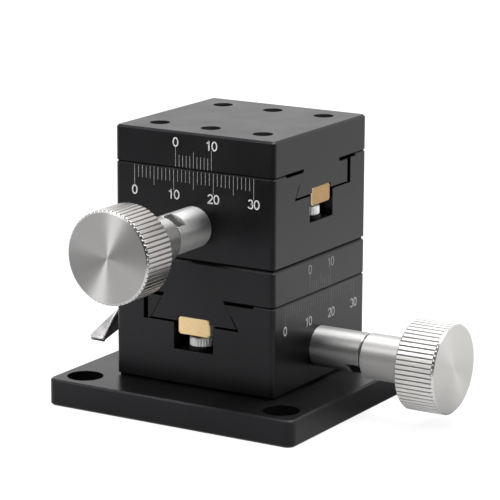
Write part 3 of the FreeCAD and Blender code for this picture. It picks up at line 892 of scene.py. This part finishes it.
def bush_mesh(length, flat_turn):
    """Sleeve from its inner end at Z = 0, with its bore below its own axis and two flats at its outer end."""
    rows = []
    bore = Vector((0, -bush_eccentricity, 0))
    for level, radius in ((length, bush_bore_radius + bush_bore_edge),
                          (length - bush_bore_edge, bush_bore_radius), (0, bush_bore_radius)):
        rows.append([point + bore for point in ring(level, radius)])
    rows += [ring(0, bush_radius - bush_edge), ring(bush_edge, bush_radius),
             ring(length - bush_end_edge, bush_radius), ring(length, bush_radius - bush_end_edge), rows[0]]
    to_flat = bush_radius - bush_flat_depth + cutter_depth / 2
    size = Matrix.Diagonal((cutter_width, cutter_depth, 2 * bush_flat_length, 1))
    cutters = []
    for side in (-1, 1):
        cutter = bmesh.new()
        bmesh.ops.create_cube(cutter, size=1.0)
        mesh = bpy.data.meshes.new("cutter")
        cutter.to_mesh(mesh)
        cutter.free()
        cutters.append((mesh, Matrix.Rotation(-flat_turn, 4, "Z")
                        @ Matrix.Translation((0, side * to_flat, length)) @ size))
    return combined(grid_mesh("sleeve", rows), "DIFFERENCE", joined("cutter", cutters))


def is_bevel(face):
    """Whether a face lies aslant to the Z axis of its piece."""
    return 0.2 < abs(face.normal.z) < 0.9


outwards = Matrix.Rotation(math.radians(90), 4, "X")
bush_steel = principled("bush_steel", turned_steel(
    (0.42, 0.415, 0.41, 1), (0.58, 0.575, 0.57, 1), 0.58, 0.005 * mm, polish=0.92))
# The flats are set dark as painted shade, and the bevels of the bushes and knobs pale as a painted highlight
flat_steel_painted_shade = principled("flat_steel_painted_shade", milled_steel(0.32, 0.36, 0.26))
steel_painted_highlight = principled("steel_painted_highlight", milled_steel(0.78, 0.84, 0.22))
for stage in stages:
    low, high = unit_box(stage, "bush")
    place = unit_place[stage] @ Matrix.Translation((0, high.y, (low.z + high.z) / 2)) @ outwards
    bush = add_piece(f"{stage}_eccentric_bush", bush_mesh(high.y - low.y, bush_flat_turn[stage]), place,
                     bush_steel, fixed_body[stage], 20)
    bush.data.materials.append(flat_steel_painted_shade)
    bush.data.materials.append(steel_painted_highlight)
    for face in bush.data.polygons:
        from_axis = Vector(face.center[:2]).length
        on_flat = bush_bore_radius + mm < from_axis < bush_radius - 0.6 * bush_flat_depth
        if is_bevel(face):
            face.material_index = 2
        elif on_flat and abs(face.normal.z) < 0.1:
            face.material_index = 1
    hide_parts(f"{stage}_bush")
    dress(f"{stage}_pinion_shaft", bright_screw)
    dress(f"{stage}_pinion_gear", brass_painted_light)
    dress(f"{stage}_pinion_set_screw", black_screw)
    dress(f"{stage}_bush_lock_screw", black_screw)
    dress(f"{stage}_stop_pin", bright_screw)


# Thrust washers
# Thin rings of black plastic on the shaft, between the bush and the knob. The pad between the lock screw
# and the gib is of the same plastic.
def black_plastic(wire):
    place = wire.add("ShaderNodeTexCoord", output="Object")
    cloud = place.noise(1.0 * mm)
    grain = place.noise(0.08 * mm)
    return {
        "Base Color": cloud.between(0.3, 0.7).blend((0.014, 0.014, 0.014, 1), (0.022, 0.022, 0.022, 1)),
        "Roughness": cloud.between(0.3, 0.7, 0.42, 0.55),
        "Normal": wire.add("ShaderNodeBump", None, {"Height": grain, "Distance": 0.003 * mm}),
    }


washer_plastic = principled("washer_plastic", black_plastic)
for stage in stages:
    dress(f"{stage}_thrust_washer", washer_plastic)
    dress(f"{stage}_lock_pad", washer_plastic)


# Knobs
# Turned from stainless bar: a smooth hub, held on the shaft by a set screw, and a head with 60 straight
# flutes. The outer face shows the rings of the facing tool.
hub_radius = 5.0 * mm
hub_length = 10.6 * mm
hub_lip = 0.44 * mm
hub_lip_edge = 0.14 * mm
washer_room = 4.1 * mm
head_radius = 10.0 * mm
inner_bevel = 0.35 * mm
outer_bevel = 0.50 * mm
neck_width = 0.25 * mm
neck_depth = 0.2 * mm
bore_depth = 17.0 * mm
flute_count = 60
flute_depth = 0.32 * mm
flute_shape = ((0.0, 1.0), (0.07, 0.90), (0.13, 0.55), (0.175, 0.10), (0.21, 0.0), (0.50, 0.0), (0.79, 0.0),
               (0.825, 0.10), (0.87, 0.55), (0.93, 0.90))
bore_radius = 2.52 * mm


def knob_ring(level, radius, fluted=False):
    """Points round the knob's axis, cut back to the flutes where there are some."""
    points = []
    for n in range(flute_count):
        for share, cut in flute_shape:
            angle = 2 * math.pi * (n + share) / flute_count
            r = min(radius, head_radius - flute_depth * cut) if fluted else radius
            points.append(Vector((r * math.cos(angle), r * math.sin(angle), level)))
    return points


def knob_mesh(length):
    """Knob along Z, from the hub's inner end at 0, where a lip laps over the washer, to the outer face.

    Bevels cut the flutes off at both ends.
    """
    head = hub_length
    rows = [knob_ring(bore_depth, 0), knob_ring(bore_depth, bore_radius), knob_ring(0, bore_radius),
            knob_ring(0, washer_room), knob_ring(-hub_lip, washer_room),
            knob_ring(-hub_lip, hub_radius - hub_lip_edge), knob_ring(hub_lip_edge - hub_lip, hub_radius),
            knob_ring(head - neck_width, hub_radius), knob_ring(head - neck_width, hub_radius - neck_depth),
            knob_ring(head, hub_radius - neck_depth), knob_ring(head, head_radius - inner_bevel)]
    cuts = (inner_bevel, flute_depth, 0.90 * flute_depth, 0.55 * flute_depth, 0.10 * flute_depth, 0.0)
    rows += [knob_ring(head + inner_bevel - cut, head_radius - cut, True) for cut in cuts]
    rows += [knob_ring(length - outer_bevel + cut, head_radius - cut, True) for cut in reversed(cuts)]
    face_radius = head_radius - outer_bevel
    rows += [knob_ring(length, face_radius * share) for share in (1.0, 0.8, 0.6, 0.4, 0.2, 0.05, 0)]
    return grid_mesh("knob", rows)


def fluted_steel(low_colour, high_colour, roughness, groove_painted_shade, polish=1.0):
    """Finish of the flutes, with painted shade darkening their grooves."""
    def build(wire):
        place = wire.add("ShaderNodeTexCoord", output="Object")
        marks = place.vector("MULTIPLY", place, (1.0, 1.0, 0.1)).noise(0.08 * mm)
        from_axis = place.vector("MULTIPLY", place, (1, 1, 0))
        radius = from_axis.vector("LENGTH", from_axis, output="Value")
        crown_unshaded = radius.between(head_radius - 0.9 * flute_depth, head_radius - 0.1 * flute_depth)
        return {
            "Base Color": crown_unshaded.blend(groove_painted_shade, marks.between(0.3, 0.7).blend(low_colour, high_colour)),
            "Metallic": polish,
            "Roughness": marks.between(0.3, 0.7, roughness - 0.04, roughness + 0.04),
            "Normal": softened(wire, 0.08 * mm, marks, 0.003 * mm),
        }
    return build


# The same stainless in copies per stage, set apart as painted light and shade: the upper hub is darkened as
# the shade under its head, and the lower knob's flutes and face are set to catch more light
hub_steels_light_and_shade = {
    "upper": turned_steel((0.25, 0.245, 0.24, 1), (0.30, 0.295, 0.29, 1), 0.50, 0.001 * mm),
    "lower": turned_steel((0.53, 0.52, 0.51, 1), (0.61, 0.60, 0.59, 1), 0.58, 0.001 * mm, polish=0.72),
}
face_steels_light_and_shade = {
    "upper": turned_steel((0.65, 0.635, 0.62, 1), (0.71, 0.695, 0.68, 1), 0.42, 0.001 * mm, 0.93),
    "lower": turned_steel((0.59, 0.575, 0.56, 1), (0.65, 0.635, 0.615, 1), 0.44, 0.001 * mm, 0.6),
}
flute_steels_light_and_shade = {
    "upper": fluted_steel((0.48, 0.46, 0.45, 1), (0.55, 0.53, 0.515, 1), 0.31, (0.26, 0.25, 0.24, 1)),
    "lower": fluted_steel((0.68, 0.67, 0.655, 1), (0.76, 0.75, 0.735, 1), 0.40, (0.22, 0.21, 0.20, 1), 0.45),
}
for stage in stages:
    low, high = unit_box(stage, "knob")
    place = unit_place[stage] @ Matrix.Translation((0, high.y, (low.z + high.z) / 2)) @ outwards
    hub_steel_light_and_shade = principled(f"{stage}_hub_steel_light_and_shade", hub_steels_light_and_shade[stage])
    knob = add_piece(f"{stage}_fluted_knob", knob_mesh(high.y - low.y), place, hub_steel_light_and_shade,
                     f"{stage}_drive", 30)
    for material in (principled(f"{stage}_face_steel_light_and_shade", face_steels_light_and_shade[stage]),
                     principled(f"{stage}_flute_steel_light_and_shade", flute_steels_light_and_shade[stage]), steel_painted_highlight):
        knob.data.materials.append(material)
    # Bevels at the face and on the hub take the pale steel of the painted highlight
    face_level = high.y - low.y - outer_bevel
    for face in knob.data.polygons:
        if face.center.z > hub_length and Vector(face.center[:2]).length > head_radius - outer_bevel:
            face.material_index = 3 if face.center.z > face_level else 2
        elif face.center.z > bore_depth:
            face.material_index = 1
        elif face.center.z < hub_length and is_bevel(face):
            face.material_index = 3
    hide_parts(f"{stage}_knob")
    dress(f"{stage}_knob_set_screw", black_screw)


# Locks
# Lever of stainless sheet on a turned hub, with a flap bent outwards from its upper edge for the finger.
# It is clamped on the head of the cap screw that it turns against the gib.
def sheet_steel(wire):
    """Rolled sheet, with fine marks along the lever."""
    place = wire.add("ShaderNodeTexCoord", output="Object")
    marks = place.vector("MULTIPLY", place, (0.15, 0.15, 1.0)).noise(0.06 * mm)
    cloud = place.noise(2.0 * mm)
    return {
        "Base Color": cloud.between(0.3, 0.7).blend((0.42, 0.41, 0.405, 1), (0.50, 0.49, 0.485, 1)),
        "Metallic": 1.0,
        "Roughness": cloud.between(0.3, 0.7, 0.24, 0.32) + marks * 0.06,
        "Normal": softened(wire, 0.25 * mm, marks, 0.003 * mm),
    }


lever_steel = principled("lever_steel", sheet_steel)
lever_hub_radius = 4.25 * mm
lever_hub_length = 3.4 * mm
lever_hub_edge = 0.25 * mm
lever_head_radius = 2.8 * mm
lever_head_depth = 1.42 * mm
lever_bore_radius = 1.53 * mm
lever_arm_depth = 1.4 * mm
lever_sheet = 0.7 * mm
lever_reach = 23.0 * mm
lever_drop = math.radians(24)
lever_tip_low = 0.2 * mm
lever_tip_high = 0.65 * mm
lever_top_curve = 2.6
least_arm = 1.07 * lever_sheet
lever_steps = 46
flap_start = 15.4 * mm
flap_corner = 0.7 * mm
flap_width = 3.7 * mm
flap_curve = 1.15


def arm_section(along):
    """Section of the lever's sheet at a distance from its hub: the arm, and the flap bent out of it."""
    share = along / lever_reach
    high = lever_hub_radius - (lever_hub_radius - lever_tip_high) * share ** lever_top_curve
    low = min(share * lever_tip_low - (1 - share) * lever_hub_radius, high - least_arm)
    spread = max(0.0, along - flap_start) / (lever_reach - flap_corner - flap_start)
    past_corner = max(0.0, along - lever_reach + flap_corner) / flap_corner
    flap = lever_sheet + (flap_width - lever_sheet) * spread ** flap_curve - flap_corner * past_corner ** 2
    under = high - lever_sheet
    points = [(0, low), (lever_sheet, low), (lever_sheet, under), (flap, under), (flap, high)]
    points += arc((lever_sheet, under), (lever_sheet, lever_sheet), 90, 180, 5)
    return [Vector((-along, out, up)) for out, up in points]


def lever_mesh():
    """Lever with its hub's inner end at Y = 0 and its tip towards -X."""
    stations = [lever_reach * n / lever_steps for n in range(lever_steps)]
    stations += [lever_reach - flap_corner * share for share in (0.4, 0.2, 0.08, 0.0)]
    arm = grid_mesh("arm", [arm_section(along) for along in stations])
    arm.transform(Matrix.Translation((0, lever_hub_length - lever_arm_depth, 0)))
    edge, length, radius = lever_hub_edge, lever_hub_length, lever_hub_radius
    hub = grid_mesh("hub", [ring(0, radius - edge), ring(edge, radius), ring(length - edge, radius),
                            ring(length, radius - edge)])
    seat = length - lever_head_depth
    bore = grid_mesh("bore", [ring(-mm, lever_bore_radius), ring(seat, lever_bore_radius),
                              ring(seat, lever_head_radius), ring(length + mm, lever_head_radius)])
    for mesh in (hub, bore):
        mesh.transform(towards_back)
    return combined(combined(arm, "UNION", hub), "DIFFERENCE", bore)


for stage in stages:
    low, high = unit_box(stage, "lock_lever")
    screw_low, screw_high = unit_box(stage, "lock_screw")
    axis = Matrix.Translation((0, low.y, (screw_low.z + screw_high.z) / 2))
    place = axis @ Matrix.Rotation(-lever_drop, 4, "Y")
    lever = add_piece(f"{stage}_bent_lever", lever_mesh(), unit_place[stage] @ place, lever_steel,
                      f"{stage}_lock", 30)
    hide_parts(f"{stage}_lock_lever")
    dress(f"{stage}_lock_screw", bright_screw)
